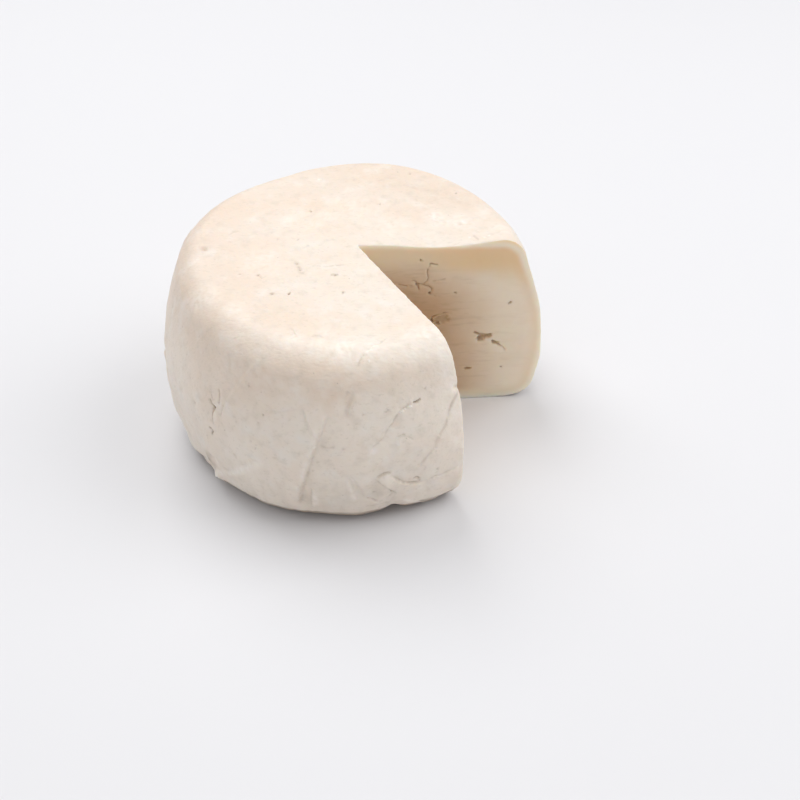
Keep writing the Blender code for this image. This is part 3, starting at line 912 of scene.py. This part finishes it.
# Fine specks and short dark streaks, as thick as a hair
SPECKS_APART = 3.4 * MM
links = (("Vector", rind.where), ("Scale", 1 / SPECKS_APART), ("Randomness", 1.0))
specks = rind.add("TexVoronoi", links)
chosen = rind.add("SeparateColor", (("Color", specks.outputs["Color"]),))
rare = rind.sum("GREATER_THAN", chosen.outputs[0], 0.86)
dot = rind.ramp(specks.outputs["Distance"], 0.1, 0.03)
colour = rind.glaze(colour, CRACK_BROWN_AND_SHADE, rind.times(dot, rare), strength=0.35)
hairs = rind.ramp(rind.noise(1.1 * MM, 6, (0.65, 1.2, 1)), 0.54, 0.76)
colour = rind.glaze(colour, STREAK, hairs, strength=0.3)
# Brown stains of cracks and pits, partly painted shade in grooves, pits and under the foot; then pale
# crumbs and rubbed places, partly painted highlights
colour = rind.mix(rind.kept("stain_and_shade"), colour, CRACK_BROWN_AND_SHADE)
colour = rind.mix(rind.kept("pale_and_highlight"), colour, CRUMB_AND_HIGHLIGHT_WHITE)
coarse = rind.noise(3 * MM, 5, (0.8, 1.1, 1))
fine = rind.noise(0.8 * MM, 4, (0.6, 1, 1))
grain = rind.sum("ADD", rind.times(coarse, 1.6), fine)
rind.coat(colour, grain, strength=0.6, depth=0.2 * MM)
cheese_light(rind, weight=0.2, reach=2.2 * MM, roughness=0.46)

PASTE_IVORY = (0.9, 0.8, 0.655, 1)
PASTE_SHADE_TAN = (0.55, 0.353, 0.197, 1)
DRIED_BAND = (0.85, 0.735, 0.57, 1)
INNER_BAND = (0.84, 0.71, 0.52, 1)
GLASSY_BAND = (0.85, 0.64, 0.39, 1)
RIND_EDGE = (0.9, 0.825, 0.7, 1)
LAYER_AND_SHADE_BROWN = (0.39, 0.265, 0.135, 1)

paste = Finish("paste")
x, y, z = paste.place()
wavy = paste.times(paste.noise(9 * MM, 3), 1.2 * MM)
in_from_rind = paste.sum("ADD", paste.kept("rind_depth"), wavy)
under_rind = paste.ramp(in_from_rind, 0.6 * MM, 3.2 * MM)
narrow = paste.ramp(in_from_rind, 2.2 * MM, 6.5 * MM)
outward = paste.ramp(x, 18 * MM, 44 * MM)
held_back = paste.sum("SUBTRACT", in_from_rind, paste.times(outward, 4.5 * MM))
broad = paste.ramp(held_back, 4.5 * MM, 12 * MM)
upper = paste.ramp(z, 45 * MM, 60 * MM)
# Painted shade: the paste is tanner towards the heart of the round, where the two cuts meet, and
# lower down, standing in for the shade deep in the notch
heart = (*NOTCH_POINT[:2], 0.1 * HEIGHT)
links = ((0, paste.where), (1, (1, 1, 0.4)))
flattened = paste.add("VectorMath", links, operation="MULTIPLY").outputs[0]
links = ((0, flattened), (1, heart))
from_heart = paste.add("VectorMath", links, operation="DISTANCE").outputs["Value"]
notch_shade = paste.ramp(from_heart, 56 * MM, 20 * MM)
lower = paste.times(paste.ramp(z, 70 * MM, 36 * MM), 0.82)
notch_shade = paste.times(notch_shade, paste.sum("ADD", lower, 0.2))
cloudy = paste.sum("SUBTRACT", paste.noise(12 * MM, 4), 0.5)
notch_shade = paste.sum("ADD", notch_shade, paste.times(cloudy, 0.35))
inside = paste.mix(notch_shade, PASTE_IVORY, PASTE_SHADE_TAN)
# It lies in fine level layers, which show best there
layers = paste.ramp(paste.noise(3.4 * MM, 6, (0.45, 0.45, 2.4)), 0.5, 0.74)
shown = paste.sum("ADD", paste.times(notch_shade, 0.3), 0.05)
inside = paste.glaze(inside, LAYER_AND_SHADE_BROWN, layers, shown)
# The dried band under the rind is broader and more glassy in the upper part
glassy = paste.mix(outward, INNER_BAND, GLASSY_BAND)
band = paste.mix(under_rind, RIND_EDGE, paste.mix(upper, DRIED_BAND, glassy))
links = (("Factor", upper), ("A", narrow), ("B", broad))
past_band = paste.add("Mix", links).outputs[0]
colour = paste.mix(past_band, band, inside)
# Painted shade in the torn places of the paste
colour = paste.mix(paste.kept("stain_and_shade"), colour, LAYER_AND_SHADE_BROWN)
grain = paste.noise(0.9 * MM, 4, (0.5, 0.5, 1.6))
paste.coat(colour, grain, strength=0.4, depth=0.08 * MM)
cheese_light(paste, weight=0.55, reach=5 * MM, roughness=0.42)


# ----------------------------------------------------------
# The cheese as it stands. The notch is cut out of the round, the edges of the cuts give a
# little, as soft curd does, and the rind has its stains and its rubbed and blushed places, with
# painted shade in grooves, torn places and under the foot, and painted highlights on edges.

for shape in (uncut, knife):
    shape.data.materials.append(rind.material)
    shape.data.materials.append(paste.material)
stroke = uncut.modifiers.new("notch", "BOOLEAN")
stroke.operation = "DIFFERENCE"
stroke.solver = "EXACT"
stroke.object = knife
cut_wheel = uncut.evaluated_get(bpy.context.evaluated_depsgraph_get())
cheese = linked("cheese", bpy.data.meshes.new_from_object(cut_wheel))
bpy.data.objects.remove(knife)
bpy.data.objects.remove(uncut)

SHORTEST_EDGE = 0.01 * MM
RIM_FROM = 0.5 * MM
RIM_EASING = 3

body = bmesh.new()
body.from_mesh(cheese.data)
bmesh.ops.dissolve_degenerate(body, edges=body.edges, dist=SHORTEST_EDGE)
bmesh.ops.triangulate(body, faces=[f for f in body.faces if len(f.verts) > 4])
rims = {
    vertex for vertex in body.verts
    if len({face.material_index for face in vertex.link_faces}) == 2 and vertex.co.z > RIM_FROM
}
beside = {edge.other_vert(vertex) for vertex in rims for edge in vertex.link_edges}
beside = {vertex for vertex in beside | rims if vertex.co.z > RIM_FROM}
for easing in range(RIM_EASING):
    bmesh.ops.smooth_vert(
        body, verts=list(beside), factor=0.5, use_axis_x=True, use_axis_y=True, use_axis_z=True
    )
rims = [vertex.index for vertex in rims]
places = places_of(body)
body.normal_update()
facing = np.array([v.normal for v in body.verts])
body.to_mesh(cheese.data)
body.free()

rind_depth = np.array([plain_wheel.find_nearest(Vector(place))[3] for place in places])

# Stains, painted shade and painted highlights follow the lines on the plain round, so each place
# of the rind is taken back there
SAME_PLACE = 0.6 * MM
marked_places = kdtree.KDTree(len(marked))
for number, place in enumerate(marked):
    marked_places.insert(place, number)
marked_places.balance()
on_plain = places.copy()
for number, place in enumerate(places):
    _, nearest, gap = marked_places.find(place)
    if gap < SAME_PLACE:
        on_plain[number] = unmarked[nearest]

stain_and_shade = np.zeros(len(places))
pale_and_highlight = np.zeros(len(places))
# Brown along creases and in pits is partly painted shade in the hollow; pale along creases is a
# painted highlight
for number, (line, outward, width, depth, ledge, tone) in enumerate(creases):
    if tone:
        near, across, share = across_line(on_plain, line, outward, 4 * width)
        across = across + LINE_WANDER * noise_at(on_plain[near], 1.8 * MM, number * CREASE_SEED, 2)
        broken = np.clip(0.85 + 1.4 * noise_at(on_plain[near], 2.0 * MM, number + 3, 2), 0.2, 1)
        ends = np.clip(np.minimum(share, 1 - share) * 6, 0, 1)
        line_tone = abs(tone) * bell(across / width) * ends * broken
        tinted = stain_and_shade if tone > 0 else pale_and_highlight
        tinted[near] = np.maximum(tinted[near], line_tone)
for middle, width, depth, tone in pits:
    stain_and_shade = np.maximum(stain_and_shade, tone * bell(gap_to(on_plain, middle) / width))
for middle, width, rise in crumbs:
    gap = gap_to(on_plain, middle) / width
    pale_and_highlight = np.maximum(pale_and_highlight, np.exp(-((gap / 1.1) ** 4)))
# Painted shade: torn places of the paste, shallow ones most, are browner than its smooth face,
# standing in for the shade inside them
TORN_SHADE = 0.45
for run, into, openings, cracks, seed in CUTS:
    near, along, up = on_cut(places, run, into, within=6 * MM)
    torn = cut_depth(along, up, openings, cracks)
    shallow = 1 - 0.9 * np.clip((torn - 0.8 * MM) / MM, 0, 1)
    stain_and_shade[near] = np.maximum(stain_and_shade[near], TORN_SHADE * np.clip(torn / (0.7 * MM), 0, 1) * shallow)
# Painted shade: the foot is darker where it turns under and faces down, standing in for its contact
# shadow
UNDERSIDE_SHADE, UNDERSIDE_SHADE_UP_TO = 0.75, 5.5 * MM
under = np.clip((-0.3 - facing[:, 2]) / 0.25, 0, 1) * np.clip(places[:, 2] / (0.8 * MM), 0.2, 1)
stain_and_shade = np.maximum(stain_and_shade, UNDERSIDE_SHADE * under * (places[:, 2] < UNDERSIDE_SHADE_UP_TO))


def patches_at(spots, grain):
    """How strongly each place of the rind is tinted by soft-edged, grainy patches."""
    tint = np.zeros(len(places))
    for *pixel, breadth, strength in spots:
        gap = gap_to(on_plain, seen_on_wheel(pixel)) / (breadth * MM)
        near = np.flatnonzero(gap < 2.2)
        grainy = np.clip(0.65 + 0.9 * noise_at(on_plain[near], grain, breadth, 4), 0, 1)
        tint[near] = np.maximum(tint[near], strength * grainy * bell(gap[near]))
    return tint


RIM_HIGHLIGHT = 0.7
# Rubbed pale places, partly painted highlights on the shoulder, the cut's edge and the chip's curl
pale_and_highlight = np.maximum(pale_and_highlight, patches_at(RUBBED_AND_HIGHLIGHTED, grain=1.5 * MM))
blush = patches_at(BLUSHED, grain=5 * MM)
# Painted shade in patches
patch_shade = patches_at(SHADED_PATCHES, grain=3 * MM)
stain_and_shade *= 1 - pale_and_highlight
# Painted highlight along the rims of the cuts
pale_and_highlight[rims] = np.maximum(pale_and_highlight[rims], RIM_HIGHLIGHT)
tints = (
    ("rind_depth", rind_depth), ("stain_and_shade", stain_and_shade), ("pale_and_highlight", pale_and_highlight), ("blush", blush), ("patch_shade", patch_shade),
)
for name, values in tints:
    layer = cheese.data.attributes.new(name, "FLOAT", "POINT")
    layer.data.foreach_set("value", values.astype(np.float32))
cheese.data.polygons.foreach_set("use_smooth", [True] * len(cheese.data.polygons))

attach(cheese, "root")
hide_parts("cheese_wheel")


# ----------------------------------------------------------
# Studio. A plain pale floor, even light from all round, and broad lamps above, the strongest
# behind and to the right, so that the top is bright and the front in soft shade.

FLOOR_WHITE = (0.77, 0.765, 0.78, 1)
ROOM_WHITE = (0.97, 0.98, 1.0, 1)
# Each lamp: place, width in metres, power in watts
LAMPS = {
    "lamp_behind": ((-0.35, 0.6, 1.05), 0.9, 8.0),
    "lamp_right": ((0.8, 0.05, 0.8), 0.9, 5.8),
    "lamp_front": ((-0.45, -0.5, 1.1), 1.0, 2.3),
}
AIMED_AT = Vector((0, 0, 0.03))

sheet = bmesh.new()
bmesh.ops.create_grid(sheet, x_segments=8, y_segments=8, size=2.0)
floor = object_of(sheet, "floor")
matt = Finish("pale_floor")
set_sockets(matt.surface, {"Base Color": FLOOR_WHITE, "Roughness": 0.6})
floor.data.materials.append(matt.material)

world = bpy.data.worlds.new("room")
world.use_nodes = True
set_sockets(world.node_tree.nodes["Background"], {"Color": ROOM_WHITE, "Strength": 0.45})
bpy.context.scene.world = world

for name, (place, width, power) in LAMPS.items():
    softbox = bpy.data.lights.new(name, "AREA")
    softbox.size = width
    softbox.energy = power
    lamp = linked(name, softbox)
    lamp.location = place
    lamp.rotation_euler = (AIMED_AT - Vector(place)).to_track_quat("-Z", "Y").to_euler()
bpy.context.scene.view_settings.view_transform = "Standard"
